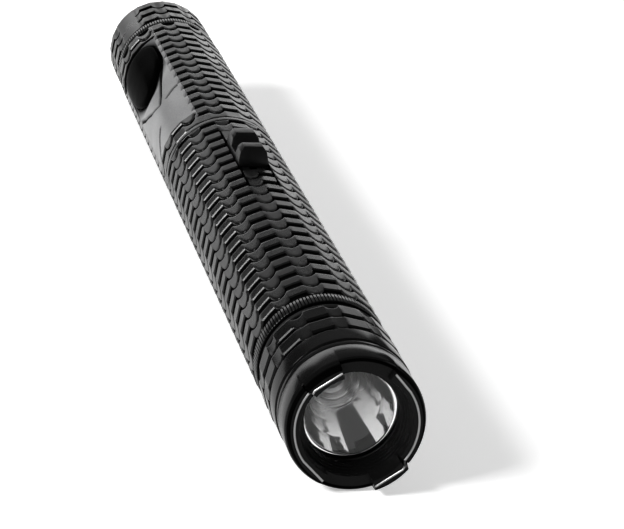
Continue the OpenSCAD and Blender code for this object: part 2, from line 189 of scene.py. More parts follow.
def grooved(name, crest, sunk, rough, floor_r, crest_r, relief, ior=1.5):
    """A finish with painted shade in its grooves, which are darker, duller and less shiny than its crests,
    and with lighter worn edges.
    """
    material, tree, shader = node_material(name, crest, rough, ior=ior)
    distance = distance_from_axis(tree)
    # painted shade mask: full from 0.7 below the groove floor up to the floor, fading out towards the crest
    # radius and further down
    painted_shade_mask = tree.nodes.new("ShaderNodeMath")
    painted_shade_mask.operation = "MULTIPLY"
    tree.links.new(remap(tree, distance, 1, 0, floor_r, crest_r), painted_shade_mask.inputs[0])
    fade_from, fade_to = (floor_r - depth for depth in GROOVE_SHADE_FADE)
    tree.links.new(remap(tree, distance, 0, 1, fade_from, fade_to), painted_shade_mask.inputs[1])
    depth = painted_shade_mask.outputs[0]
    grain = noise(tree, 2600, 3.0)
    blotch = noise(tree, 60, 2.0)
    lighter = tuple(c * 1.5 for c in crest)
    base = blend_colours(tree, remap(tree, grain, 0, 1), crest, lighter)
    worn = tree.nodes.new("ShaderNodeNewGeometry")
    edge = remap(tree, worn.outputs["Pointiness"], 0, 0.5, 0.52, 0.62)
    base = blend_colours(tree, edge, base, tuple(c * EDGE_GAIN for c in crest))
    # the grooves take the near-black sunk colour as painted shade
    tree.links.new(blend_colours(tree, depth, base, sunk), shader.inputs["Base Color"])
    dull = tree.nodes.new("ShaderNodeMath")
    dull.operation = "MULTIPLY_ADD"
    tree.links.new(depth, dull.inputs[0])
    dull.inputs[1].default_value = 0.35
    tree.links.new(remap(tree, blotch, rough - 0.05, rough + 0.05), dull.inputs[2])
    tree.links.new(dull.outputs[0], shader.inputs["Roughness"])
    # the painted shade also takes most of the specular reflection out of the grooves
    tree.links.new(remap(tree, depth, 0.5, 0.04, 0, 1), shader.inputs["Specular IOR Level"])
    bump(tree, shader, grain, relief)
    return material


GROOVED = {  # crest, painted shade colour of the grooves, roughness, radius of the floor and of the crest, depth of the relief, IOR
    "gloss_black_metal": ((0.007, 0.007, 0.007), (0.001, 0.001, 0.001), 0.2, 19.1, 19.35, 0.002, 1.22),
    "satin_black_body": ((0.006, 0.006, 0.006), (0.001, 0.001, 0.001), 0.28, 19.42, 19.6, 0.012),
    # on the panel the same painted shade darkens the dish round the button and the engraved lines
    "smooth_grey_panel": ((0.18, 0.18, 0.182), (0.002, 0.002, 0.002), 0.33, 18.55, 19.1, 0.004),
}
ALONG = (1, 0.2, 1)  # grain drawn out along the light
TURNED = (1, 8, 1)  # grain drawn out round the light
TEXTURED = {  # colour, roughness, spread of the colour, scale of the grain, depth of the relief, the rest
    "bright_metal": ((0.32, 0.32, 0.32), 0.34, 0.06, 500, 0.004, {"stretch": ALONG, "metal": 1.0}),
    "gloss_black_plastic": ((0.002, 0.002, 0.002), 0.2, 0.3, 120, 0.0,
                            {"rough_spread": 0.05, "ior": 1.04, "specular": 0.1}),
    "grained_black_plastic": ((0.006, 0.006, 0.006), 0.34, 0.4, 2400, 0.02, {}),
    "rubber_black": ((0.01, 0.01, 0.01), 0.7, 0.3, 1500, 0.03, {}),
    "raw_aluminium": ((0.6, 0.6, 0.61), 0.35, 0.1, 700, 0.01, {"stretch": TURNED, "metal": 1.0}),
    "circuit_board": ((0.02, 0.16, 0.06), 0.4, 0.3, 500, 0.02, {"coat": 0.3}),
    "ivory_plastic": ((0.75, 0.7, 0.55), 0.45, 0.06, 400, 0.02, {}),
    "spring_steel": ((0.55, 0.55, 0.56), 0.28, 0.12, 900, 0.006, {"metal": 1.0}),
    "contact_brass": ((0.78, 0.58, 0.26), 0.28, 0.12, 600, 0.006, {"metal": 1.0}),
    "red_insulation": ((0.5, 0.02, 0.015), 0.4, 0.12, 300, 0.02, {}),
    "cell_wrap": ((0.03, 0.1, 0.22), 0.3, 0.1, 90, 0.01, {"coat": 0.4}),
    "grey_plastic": ((0.12, 0.12, 0.125), 0.45, 0.12, 600, 0.03, {}),
    "phosphor": ((0.05, 0.049, 0.045), 0.4, 0.12, 2500, 0.0, {}),
}


def make_materials():
    """One material for each of the record's slots."""
    made = {name: grooved(name, *numbers) for name, numbers in GROOVED.items()}
    for name, (*numbers, finish) in TEXTURED.items():
        made[name] = textured(name, *numbers, **finish)
    mirror, tree, shader = node_material("mirror", (0.9, 0.9, 0.9), 0.05, metal=1.0)
    # the foot of the bowl is duller and darker than the rest of it
    distance = distance_from_axis(tree)
    tree.links.new(remap(tree, distance, 0.3, 0.05, 4.6, 6.4), shader.inputs["Roughness"])
    polished = blend_colours(tree, noise(tree, 180, stretch=(1, 0.6, 1)), (0.8, 0.8, 0.8), (0.92, 0.92, 0.92))
    tint = blend_colours(tree, remap(tree, distance, 0, 1, 5.0, 7.2), (0.42, 0.42, 0.42), polished)
    tree.links.new(tint, shader.inputs["Base Color"])
    bump(tree, shader, noise(tree, 150, 1.0, (1, 0.6, 1)), 0.006)
    made["mirror"] = mirror
    glass, tree, shader = node_material("clear_glass", (1, 1, 1), 0.0, transmission=1.0, ior=1.46)
    tree.links.new(remap(tree, noise(tree, 90), 0.0, 0.02), shader.inputs["Roughness"])
    made["clear_glass"] = glass
    return made


MATERIALS = make_materials()
NODE_SLOTS = {part["node"]: part["material_slot"] for part in frame["record"]["subparts"]}
for node, obj in frame["nodes"].items():
    obj.data.materials.clear()
    obj.data.materials.append(MATERIALS[NODE_SLOTS[node]])

# ---- mesh tools ----


def shade(obj, sharp):
    """Smooth shading that stops at edges sharper than an angle."""
    obj.data.polygons.foreach_set("use_smooth", [True] * len(obj.data.polygons))
    obj.data.set_sharp_from_angle(angle=math.radians(sharp))


def mesh_object(name, points, faces, sharp=32):
    """A mesh object from points and faces, with doubled points joined and faces turned outwards."""
    mesh = bpy.data.meshes.new(name)
    mesh.from_pydata(np.asarray(points).reshape(-1, 3).tolist(), [], faces)
    work = bmesh.new()
    work.from_mesh(mesh)
    bmesh.ops.remove_doubles(work, verts=work.verts, dist=2e-7)
    bmesh.ops.recalc_face_normals(work, faces=work.faces)
    work.to_mesh(mesh)
    work.free()
    obj = bpy.data.objects.new(name, mesh)
    bpy.context.scene.collection.objects.link(obj)
    shade(obj, sharp)
    return obj


def grid_faces(rows, columns, wrap_rows, wrap_columns):
    """Faces of a grid of points, which may join its last row or column to its first."""
    index = np.arange(rows * columns).reshape(rows, columns)
    if wrap_rows:
        index = np.vstack([index, index[:1]])
    if wrap_columns:
        index = np.hstack([index, index[:, :1]])
    corners = [index[:-1, :-1], index[:-1, 1:], index[1:, 1:], index[1:, :-1]]
    return np.stack(corners, axis=-1).reshape(-1, 4).tolist()


def tube(name, rows, angles, closed=True, sharp=32):
    """A solid round the axis from rows of (stations, radii); it ends on the axis where it isn't closed."""
    count = len(angles)
    stations = np.array([np.broadcast_to(np.asarray(s, float), count) for s, _ in rows])
    radii = np.array([np.broadcast_to(np.asarray(r, float), count) for _, r in rows])
    points = place(stations, radii, angles[None, :])
    return mesh_object(name, points, grid_faces(len(rows), count, closed, True), sharp)


def rounded(corners):
    """Rows of (station, radius) from corners (station, radius, rounding), each rounding made an arc."""
    steps = 4
    rows = []
    for k, (station, radius, size) in enumerate(corners):
        here = np.array([station, radius], float)
        if not size:
            rows.append(tuple(here))
            continue
        before = np.array(corners[k - 1][:2], float) - here
        after = np.array(corners[(k + 1) % len(corners)][:2], float) - here
        start = here + before / np.linalg.norm(before) * size
        end = here + after / np.linalg.norm(after) * size
        for q in np.linspace(0, 1, steps + 1):
            rows.append(tuple((1 - q) ** 2 * start + 2 * q * (1 - q) * here + q * q * end))
    return rows


def carve(obj, cutter, operation="DIFFERENCE", sharp=32):
    """Cuts one solid with another, which is then removed."""
    modifier = obj.modifiers.new("carve", "BOOLEAN")
    modifier.operation = operation
    modifier.solver = "EXACT"
    modifier.object = cutter
    apply_modifiers(obj, sharp)
    bpy.data.objects.remove(cutter)


def apply_modifiers(obj, sharp=32):
    """Makes what the modifiers show the object's own mesh."""
    mesh = bpy.data.meshes.new_from_object(obj.evaluated_get(bpy.context.evaluated_depsgraph_get()))
    obj.modifiers.clear()
    obj.data = mesh
    shade(obj, sharp)


def soften(obj, width, angle=25):
    """Rounds the edges of a solid."""
    modifier = obj.modifiers.new("soften", "BEVEL")
    modifier.width = width * MM
    modifier.segments = 3
    modifier.limit_method = "ANGLE"
    modifier.angle_limit = math.radians(angle)
    apply_modifiers(obj)


def prism(name, outline, low, high, axis, angle=0.0):
    """A solid from an outline in millimetres, drawn square to "height", "across" or "station"."""
    outline = np.array(outline, float)
    ends = np.array([low, high], float)[:, None]
    first, second, third = outline[None, :, 0], outline[None, :, 1], ends
    if axis == "height":
        points = place_beside(first, second, third, angle)
    elif axis == "across":
        points = place_beside(third, first, second, angle)
    else:
        points = place_beside(first, third, second, angle)
    count = len(outline)
    faces = grid_faces(2, count, False, True)
    faces += [list(range(count)), list(range(2 * count - 1, count - 1, -1))]
    return mesh_object(name, points, faces)


def block(name, across, stations, heights, angle=0.0):
    """A box between two places across, two stations and two heights."""
    outline = [(across[0], stations[0]), (across[1], stations[0]),
               (across[1], stations[1]), (across[0], stations[1])]
    return prism(name, outline, heights[0], heights[1], "height", angle)


def finish_piece(obj, body, slot, *nodes):
    """Gives a piece its material, its body and the CAD nodes that it stands for."""
    obj.data.materials.clear()
    obj.data.materials.append(MATERIALS[slot])
    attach(obj, body)
    if nodes:
        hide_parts(*nodes)


# ---- the rib pattern ----

SECTORS = 12  # scallops round the light
SCALLOP_STEPS = 7  # grid steps on each half of a scallop
BAR_STEPS = 7  # grid steps on the bar between two scallops
FLOOR_DROP = 0.95  # depth of a groove
FLUTE = 0.2  # hollow along the middle of the scallops
BAR_CHAMFER = 0.45  # flat chamfer along the front edge of a bar
SCALLOP_REACH = 0.9  # how far the rounding at the front of a scallop reaches, and how deep it goes
SCALLOP_CHAMFER = 0.4
REAR_REACH = 0.3
REAR_CHAMFER = 0.25
FRONT_ROWS = (0, 0.1, 0.25, 0.45, 0.9, 1.5)  # distances of grid rows behind a rib's front edge
REAR_ROWS = (0.7, 0.3, 0.12, 0)  # and ahead of its rear edge


class Pattern:
    """Columns round the light: scallops about given angles, and flat bars between them."""

    def __init__(self, centre, half, power=0.6):
        sector = 360 / SECTORS
        scallop = [half * math.sin(math.pi / 2 * k / SCALLOP_STEPS)
                   for k in range(-SCALLOP_STEPS, SCALLOP_STEPS + 1)]
        bar_width = sector - 2 * half
        bar = [half + bar_width * k / BAR_STEPS for k in range(1, BAR_STEPS)]
        unit = np.array(scallop + bar)
        across = np.where(np.abs(unit) <= half, unit / half, 1.0)
        self.angles = (centre + sector * np.arange(SECTORS)[:, None] + unit).ravel()
        self.across = np.tile(across, SECTORS)
        self.arch = (1 - self.across ** 2) ** power  # front outline of a scallop
        self.hollow = 1 - self.across ** 2  # rear outline of the rib ahead of it
        self.scallop = np.minimum(1, 3 * self.hollow)
        middle = np.where(unit > half, half + bar_width / 2, 0.0)
        facet = np.where(unit > half, bar_width / 2, half)
        drop = 1 - np.cos(np.radians(facet)) / np.cos(np.radians(unit - middle))
        fluted = np.minimum(drop, 0) + FLUTE / BARREL_R * (1 - (unit / half) ** 2)
        self.flat = np.tile(np.where(unit > half, drop, fluted), SECTORS)  # drop as a share of the radius


def edge_distance(stations, edge, angles, radius):
    """How far grid points lie from an edge that runs round the light."""
    arc = np.radians(angles) * radius
    turn = 2 * math.pi * radius
    ends = 6
    line_x = np.concatenate([arc[-ends:] - turn, arc, arc[:ends] + turn])
    line_y = np.concatenate([edge[-ends:], edge, edge[:ends]])
    start = np.stack([line_x[:-1], line_y[:-1]], -1)
    step = np.diff(np.stack([line_x, line_y], -1), axis=0)
    best = np.full(stations.shape, 1e9)
    for shift in range(-ends, ends + 1):
        pick = np.clip(np.arange(len(angles)) + ends + shift, 0, len(step) - 1)
        a, d = start[pick], step[pick]
        offset_x = arc[None, :] - a[None, :, 0]
        offset_y = stations - a[None, :, 1]
        length = (d ** 2).sum(-1) + 1e-12
        along = np.clip((offset_x * d[:, 0] + offset_y * d[:, 1]) / length, 0, 1)
        gap = np.hypot(offset_x - along * d[:, 0], offset_y - along * d[:, 1])
        best = np.minimum(best, gap)
    return best


def rounding(distance, reach, depth):
    """How far a surface drops near an edge, as a quarter of an ellipse."""
    share = 1 - np.clip(distance / reach, 0, 1)
    return depth * (1 - np.sqrt(1 - share ** 2))


def chamfer(distance, reach, depth):
    """How far a surface drops near an edge, as a flat chamfer."""
    return depth * (1 - np.clip(distance / reach, 0, 1))


def rib_rows(front, rear, pattern, radius, keep=0.0):
    """Grid rows over one rib, from its front edge to its rear edge; keep is 1 where nothing is cut."""
    stations = [front + d for d in FRONT_ROWS]
    room = (rear - REAR_ROWS[0]) - (front + FRONT_ROWS[-1])
    stations += [front + FRONT_ROWS[-1] + room * share for share in (1 / 3, 2 / 3)]
    stations += [rear - d for d in REAR_ROWS]
    stations = np.array(stations)
    ahead = edge_distance(stations, front, pattern.angles, radius)
    behind = edge_distance(stations, rear, pattern.angles, radius)
    flat = chamfer(ahead, BAR_CHAMFER, BAR_CHAMFER)
    round_off = rounding(ahead, SCALLOP_REACH, SCALLOP_CHAMFER)
    worn_front = flat + (round_off - flat) * pattern.scallop
    drop = np.maximum(worn_front, rounding(behind, REAR_REACH, REAR_CHAMFER))
    radii = radius * (1 - pattern.flat) - drop * (1 - keep)
    return list(zip(stations, radii))


def groove_rows(front, rear, floor_r, slope=0.12):
    """Grid rows over the floor of a groove between two edges."""
    return [(front + slope, floor_r), ((front + rear) / 2, floor_r), (rear - slope, floor_r)]


# ---- barrel ----

BAR_GROOVE = 3.5  # width of a groove at the bars
ARCH = 4.8  # how far a scallop's front reaches towards the lens
HOLLOW = 2.4  # how far the rib ahead draws back from it
REAR_ARCH = 3.9  # the same two on the rear body
REAR_HOLLOW = 2.6
BODY_PATTERN = Pattern(7.5, 7.5)
FRONT_PITCH = 8.22
REAR_PITCH = 8.4
FIRST_GROOVE = 7.4  # middle of the first groove of the front body, at the bars
REAR_FIRST_GROOVE = 185.2
REAR_GROOVES = 14
PANEL_ANGLE = 67.5  # direction that the side panel faces
FLOOR_R = BARREL_R - FLOOR_DROP


def body_edges(middle, pattern=BODY_PATTERN, arch=ARCH, hollow=HOLLOW):
    """Rear edge of the rib ahead of a groove, and front edge of the rib behind it."""
    ahead = middle - BAR_GROOVE / 2 - hollow * pattern.hollow
    behind = middle + BAR_GROOVE / 2 - arch * pattern.arch
    return ahead, behind


def ribbed_rows(start, middles, end, pattern, radius, floor_r, pocket):
    """Grid rows of ribs and grooves up to the end, where each scallop has a pocket of a given depth."""
    rows = []
    front = start
    for middle in middles:
        ahead, behind = body_edges(middle, pattern, REAR_ARCH, REAR_HOLLOW)
        rows += rib_rows(front, ahead, pattern, radius)
        rows += groove_rows(ahead, behind, floor_r)
        front = behind
    rear = end - pocket * np.sqrt(pattern.hollow)
    rows += rib_rows(front, rear, pattern, radius)
    rows += [(np.minimum(rear + 0.12, end), floor_r), (np.full_like(rear, end), floor_r)]
    return rows


def front_barrel():
    """Ribbed front body with the opening for the slide switch."""
    start, end = span("front_body")
    ring_back = span("front_knurled_ring")[1] + 0.1
    bore_r, neck_r, socket_r = 16, 17.8, 17.5
    socket = span("rear_body")[0] - 1
    pattern = BODY_PATTERN
    first_bar = FIRST_GROOVE + BAR_GROOVE / 2
    first_front = first_bar - (first_bar - ring_back) * pattern.arch
    middles = [FIRST_GROOVE + FRONT_PITCH * k for k in range(1, 20)]
    last = FIRST_GROOVE + FRONT_PITCH * 20
    rows = [(start, bore_r), (start, neck_r - 0.3), (start + 0.3, neck_r), (ring_back, neck_r),
            (ring_back, FLOOR_R), (np.maximum(first_front - 0.12, ring_back), FLOOR_R)]
    front = first_front
    for middle in middles:
        ahead, behind = body_edges(middle)
        rows += rib_rows(front, ahead, pattern, BARREL_R)
        rows += groove_rows(ahead, behind, FLOOR_R)
        front = behind
    ahead, behind = body_edges(last)
    rows += rib_rows(front, ahead, pattern, BARREL_R)
    # the scallops of the last groove are tongues that end at the seam, with bars of floor between them
    tongue = np.minimum(behind, end - 0.02)
    crest = BARREL_R * (1 - pattern.flat)
    crest = np.where(pattern.hollow > 0, crest, FLOOR_R)
    rows += groove_rows(ahead, np.maximum(tongue, ahead + 0.3), FLOOR_R)
    edge_r = np.where(pattern.hollow > 0, BARREL_R - SCALLOP_CHAMFER, FLOOR_R)
    rows += [(tongue, edge_r), (np.minimum(tongue + 0.4, end), np.maximum(crest - 0.15, FLOOR_R)),
             (np.minimum(tongue + 0.9, end), crest), (np.full_like(crest, end - 0.3), crest),
             (np.full_like(crest, end), np.maximum(crest - 0.2, FLOOR_R))]
    rows += [(end, socket_r), (socket, socket_r), (socket, bore_r)]
    barrel = tube("barrel_front", rows, pattern.angles)
    carve(barrel, block("opening", (-5.4, 5.4), (103, 162), (10, 30)))
    finish_piece(barrel, "housing", NODE_SLOTS["front_body"], "front_body")


def rear_barrel():
    """Ribbed rear body with the window for the side panel."""
    start = span("rear_body")[0]
    seam = span("joint_ring")[1] + 0.05
    ring_start, end = span("rear_knurled_ring")
    ribs_end = ring_start - 0.02
    bore_r, neck_r, ring_neck_r, thread_r = 16, 17.45, 17.8, 17
    thread_start = 290
    pattern = BODY_PATTERN
    middles = [REAR_FIRST_GROOVE + REAR_PITCH * k for k in range(REAR_GROOVES)]
    front = np.full_like(pattern.angles, seam)
    rows = [(start, bore_r), (start, neck_r), (seam, neck_r), (seam, FLOOR_R)]
    rows += ribbed_rows(front, middles, ribs_end, pattern, BARREL_R, FLOOR_R, 4.8)
    rows += [(ribs_end, ring_neck_r), (end, ring_neck_r), (end, thread_r), (thread_start, thread_r),
             (thread_start, bore_r)]
    barrel = tube("barrel_rear", rows, pattern.angles)
    low, high = span("side_panel")
    # the window is wider above the cover, which leaves room for the teeth along the cover's sides
    outline = [(11.6, 5), (11.6, 14.3), (13.05, 14.3), (13.4, 30)]
    outline += [(-x, height) for x, height in reversed(outline)]
    window = prism("window", outline, low - 0.1, high + 0.1, "station", PANEL_ANGLE)
    carve(barrel, window)
    finish_piece(barrel, "housing", NODE_SLOTS["rear_body"], "rear_body")


def knurled_ring(name, node):
    """Ring with fine ridges along the light."""
    start, end = span(node)
    ridges, inner_r, radius, cut = 120, 17.82, 19.7, 0.35
    phase = np.array([0, 0.08, 0.17, 0.5, 0.83, 0.92])
    depth = np.array([1, 0.9, 0.05, 0, 0.05, 0.9]) * cut
    angles = ((np.arange(ridges)[:, None] + phase) * 360 / ridges).ravel()
    drop = np.tile(depth, ridges)
    shoulder = np.minimum(radius - 0.4, radius - drop)
    rows = [(start, inner_r), (start, shoulder), (start + 0.15, np.minimum(radius - 0.12, radius - drop)),
            (start + 0.4, radius - drop), ((start + end) / 2, radius - drop), (end - 0.4, radius - drop),
            (end - 0.15, np.minimum(radius - 0.12, radius - drop)), (end, shoulder), (end, inner_r)]
    ring = tube(name, rows, angles, sharp=40)
    finish_piece(ring, "housing", NODE_SLOTS[node], node)


def seam_ring():
    """Smooth ring between the two bodies."""
    start, end = span("joint_ring")
    inner_r, radius = 17.5, BARREL_R - 0.1
    rows = rounded([(start, inner_r, 0), (start, radius - 0.1, 0.35), (start + 0.6, radius, 0.3),
                    (end - 0.5, radius, 0.4), (end, radius - 0.6, 0.2), (end, inner_r, 0)])
    ring = tube("seam_ring", rows, np.linspace(0, 360, 180, endpoint=False))
    finish_piece(ring, "housing", NODE_SLOTS["joint_ring"], "joint_ring")


# ---- head ----

HEAD_PATTERN = Pattern(2.2, 5.8, 0.5)
HEAD_GROOVES = ((-21.6, -19.3), (-13.0, -10.3))  # edges of the grooves at the bars
COLLAR_R = 19.8


def head_shell():
    """Head with a smooth collar and two rows of bars."""
    start, end = span("head_housing")
    pattern = HEAD_PATTERN
    thread_r, neck_r, core_r = 17.66, 17.9, 15.2
    core_front, core_rear = -23, -14
    rows = rounded([(start, thread_r, 0), (start, COLLAR_R - 0.5, 0.3), (start + 0.7, COLLAR_R - 0.25, 0.4),
                    (start + 2.2, COLLAR_R - 0.25, 0.3), (start + 2.5, COLLAR_R - 0.6, 0.1),
                    (start + 3.0, COLLAR_R - 0.6, 0.1), (start + 3.3, COLLAR_R, 0.25),
                    (HEAD_GROOVES[0][0], COLLAR_R, 0.3)])
    rows += [(HEAD_GROOVES[0][0] + 0.05, COLLAR_R - 0.4)]
    for k, (ahead, behind) in enumerate(HEAD_GROOVES):
        front = behind - (behind - ahead - 0.35) * pattern.arch
        rows += groove_rows(np.full_like(front, ahead), front, FLOOR_R, 0.1)
        if k == 0:
            rear = np.full_like(front, HEAD_GROOVES[1][0])
        else:
            rear = end - 2.6 * np.sqrt(pattern.hollow)
        rows += rib_rows(front, rear, pattern, BARREL_R)
    rows += [(np.minimum(rear + 0.1, end), FLOOR_R), (np.full_like(rear, end), FLOOR_R)]
    rows += [(end, neck_r), (core_rear, neck_r), (core_rear, core_r), (core_front, core_r),
             (core_front, thread_r)]
    head = tube("head_shell", rows, pattern.angles)
    finish_piece(head, "housing", NODE_SLOTS["head_housing"], "head_housing")


BEZEL_R = 19.64
LIPS = (((54.5, 153.5), -44.0), ((18.5, 52.5), -46.4),  # angles and front of the left lip and tooth
        ((234.5, 329.5), -44.0), ((198.5, 232.5), -46.4))  # and of the right ones
RIM = -42.2  # front of the ring between the lips
STRIP_R = 17.2


def bezel_shell():
    """Front ring with a black cavity, two long lips and two short teeth."""
    end = span("bezel_ring")[1]
    back = span("lens")[1]
    rounds = 0.5  # angle over which the end of a lip is rounded
    grid = np.arange(0, 360, 2.5)
    spans = [(low, high, top) for (low, high), top in LIPS]
    columns = [(angle, RIM) for angle in grid
               if not any(low - rounds <= angle <= high + rounds for low, high, _ in spans)]
    for low, high, top in spans:
        columns += [(angle, top) for angle in grid if low + rounds < angle < high - rounds]
        rise = top - RIM
        for share in (0, 0.04, 0.3, 1):
            height = RIM + rise * (1 - (1 - share) ** 3 * 0.35) if share else RIM
            columns += [(low + rounds * share, height), (high - rounds * share, height)]
    columns.sort(key=lambda pair: pair[0])
    angles = np.array([angle for angle, _ in columns])
    front = np.array([top for _, top in columns])
    raised = (front < RIM - 0.01).astype(float)
    lip_in, lip_out, edge = 15.6, BEZEL_R - 0.05, 0.3
    inner_rim, outer_rim = 15.4, BEZEL_R - 0.8
    rows = [(end, 15.0), (-36, 15.0), (-36, 13.3), (-37.0, 13.3), (-37.3, 13.4), (-38.0, 13.65),
            (-38.3, 13.7), (-38.45, 14.05), (-39.2, 14.2), (-39.35, 14.6), (-40.1, 14.75),
            (-40.3, 15.1), (RIM + 1.2, 15.3),
            (RIM + 0.3, inner_rim), (RIM, inner_rim + 0.2 * raised),
            (front + edge * raised, lip_in), (front + 0.09 * raised, lip_in + 0.09), (front, lip_in + edge),
            (front, np.where(raised, lip_out - 1.0, outer_rim - 0.05)),
            (front + 0.12 * raised, np.where(raised, lip_out - 0.86, outer_rim - 0.02)),
            (RIM, np.where(raised, lip_out - 0.2, outer_rim)),
            (RIM + 0.15, np.where(raised, lip_out - 0.1, outer_rim + 0.3)),
            (RIM + 0.45, np.where(raised, lip_out, outer_rim + 0.6)), (RIM + 0.9, BEZEL_R),
            (back - 0.35, BEZEL_R), (back - 0.1, BEZEL_R - 0.1), (back, BEZEL_R - 0.35),
            (back, 17.6), (end, 17.6)]
    shell = tube("bezel_shell", rows, angles, sharp=38)
    finish_piece(shell, "bezel", NODE_SLOTS["bezel_ring"], "bezel_ring")


def strip(name, node, lip, tooth):
    """Bright strip that runs along one lip and on along its tooth."""
    (lip_angles, lip_front), (tooth_angles, tooth_front) = lip, tooth
    bend = lip_angles[0] + 71.5
    path = [(lip_angles[1] - 1, STRIP_R + 0.7, lip_front), (bend, STRIP_R, lip_front)]
    path += [(angle, STRIP_R, lip_front) for angle in np.arange(bend - 3, lip_angles[0] + 1.5, -3)]
    path += [(lip_angles[0] + 0.6, STRIP_R, lip_front), (tooth_angles[1] - 0.6, STRIP_R, tooth_front),
             (tooth_angles[1] - 4, STRIP_R + 0.3, tooth_front),
             (tooth_angles[0] + 1, STRIP_R + 0.4, tooth_front)]
    half, sunk, proud = 0.3, 0.3, 0.3
    section = [(-half, sunk), (-half, 0.12 - proud), (-half * 0.6, -proud), (half * 0.6, -proud),
               (half, 0.12 - proud), (half, sunk)]
    line = np.array([[-r * math.sin(math.radians(a)), r * math.cos(math.radians(a))] for a, r, _ in path])
    along = np.gradient(line, axis=0)
    along /= np.linalg.norm(along, axis=1)[:, None]
    points = []
    for (x, z), (dx, dz), (_, _, front) in zip(line, along, path):
        for offset, station in section:
            points.append(((x - dz * offset) * MM, JOINT_Y + (front + station) * MM,
                           AXIS_Z + (z + dx * offset) * MM))
    count = len(section)
    faces = grid_faces(len(path), count, False, True)
    faces += [list(range(count)), [(len(path) - 1) * count + i for i in reversed(range(count))]]
    obj = mesh_object(name, points, faces, 40)
    finish_piece(obj, "bezel", NODE_SLOTS[node], node)


def reflector_bowl():
    """Deep mirror bowl with faint steps at its foot and a flange at its mouth."""
    start = span("reflector")[0]
    mouth_r, foot_r, focal, flange_r = 12.4, 3.6, 1.6, 14.6
    vertex = start + mouth_r ** 2 / (4 * focal)
    steps = 110
    rows = [(vertex + 0.2, foot_r)]
    for k in range(steps + 1):
        r = foot_r + (mouth_r - foot_r) * k / steps
        ring = 0.09 * sum(math.exp(-((r - ridge) / 0.13) ** 2) for ridge in (4.3, 5.3, 6.4))
        rows.append((vertex - r * r / (4 * focal) + ring, r))
    rows += [(start + 0.5 - 0.5 * math.sin(a), mouth_r + 0.6 - 0.6 * math.cos(a))
             for a in (0.3, 0.7, 1.1, 1.57)]
    rows += [(start, flange_r), (start + 1.55, flange_r)]
    wall = 1.3
    for k in range(steps - 16, 24, -14):
        r = foot_r + (mouth_r - foot_r) * k / steps
        rows.append((vertex - r * r / (4 * focal) + 0.4, r + wall))
    foot = vertex - foot_r ** 2 / (4 * focal)
    rows += [(foot - 0.8, 8.6), (vertex + 0.2, 8.6)]
    bowl = tube("reflector_bowl", rows, np.linspace(0, 360, 160, endpoint=False), sharp=40)
    finish_piece(bowl, "housing", NODE_SLOTS["reflector"], "reflector")


def led():
    """Round stepped package with a dark emitting square, under a clear dome with a bright ring."""
    end = span("led_emitter")[1]
    base = end - 0.8
    rows = [(base, 0), (base, 0.9), (base - 0.12, 1.0), (base - 0.12, 1.3), (base, 1.4), (base, 1.9),
            (base - 0.2, 2.0), (base - 0.2, 2.4), (base, 2.5), (end, 2.5), (end, 0)]
    package = tube("led_package", rows, np.linspace(0, 360, 64, endpoint=False), closed=False)
    finish_piece(package, "housing", "phosphor", "led_emitter")
    die = block("led_die", (-1.1, 1.1), (base - 0.15, base + 0.05), (-1.1, 1.1))
    soften(die, 0.04)
    finish_piece(die, "housing", "phosphor")
    dome_r = 1.9
    rows = [(base, 0.0), (base, dome_r)]
    rows += [(base - dome_r * math.sin(a), dome_r * math.cos(a)) for a in np.linspace(0.12, math.pi / 2, 14)]
    rows[-1] = (base - dome_r, 0.0)
    dome = tube("led_dome", rows, np.linspace(0, 360, 48, endpoint=False), closed=False)
    finish_piece(dome, "housing", "clear_glass")
    rows = rounded([(base - 0.25, 2.0, 0.08), (base - 0.25, 2.4, 0.08), (base, 2.4, 0), (base, 2.0, 0)])
    ring = tube("led_ring", rows, np.linspace(0, 360, 64, endpoint=False))
    finish_piece(ring, "housing", "bright_metal")


def lens_disc():
    """Flat clear lens."""
    start, end = span("lens")
    rows = rounded([(end, 0, 0), (end, 14.6, 0.25), (start, 14.6, 0.25), (start, 0, 0)])
    disc = tube("lens_disc", rows, np.linspace(0, 360, 128, endpoint=False), closed=False)
    finish_piece(disc, "lens_pack", NODE_SLOTS["lens"], "lens")


# ---- slide switch ----

def switch_plate():
    """Plate let into the barrel; its front carries on the ribs and its rear is smooth."""
    pattern = BODY_PATTERN
    start, end = 103.3, 161.7
    middles = [FIRST_GROOVE + FRONT_PITCH * k for k in (12, 13)]
    front = np.full_like(pattern.angles, 95.0)
    rows = [(94, 13.0), (95, 13.0)]
    top = BARREL_R - 0.05
    for middle in middles:
        ahead, behind = body_edges(middle)
        rows += rib_rows(front, ahead, pattern, top)
        rows += groove_rows(ahead, behind, FLOOR_R)
        front = behind
    rows += rib_rows(front, np.full_like(front, 170.0), pattern, top)
    rows += [(171, 13.0)]
    plate = tube("switch_plate", rows, pattern.angles)
    carve(plate, block("stem", (-4.6, 4.6), (start, end), (13.8, 30)), "INTERSECT")
    carve(plate, block("recess", (-6, 6), (119, 152), (18.3, 30)))
    carve(plate, block("slot", (-1.3, 1.3), (123.5, 138.5), (10, 30)))
    finish_piece(plate, "housing", NODE_SLOTS["switch_insert"], "switch_insert")


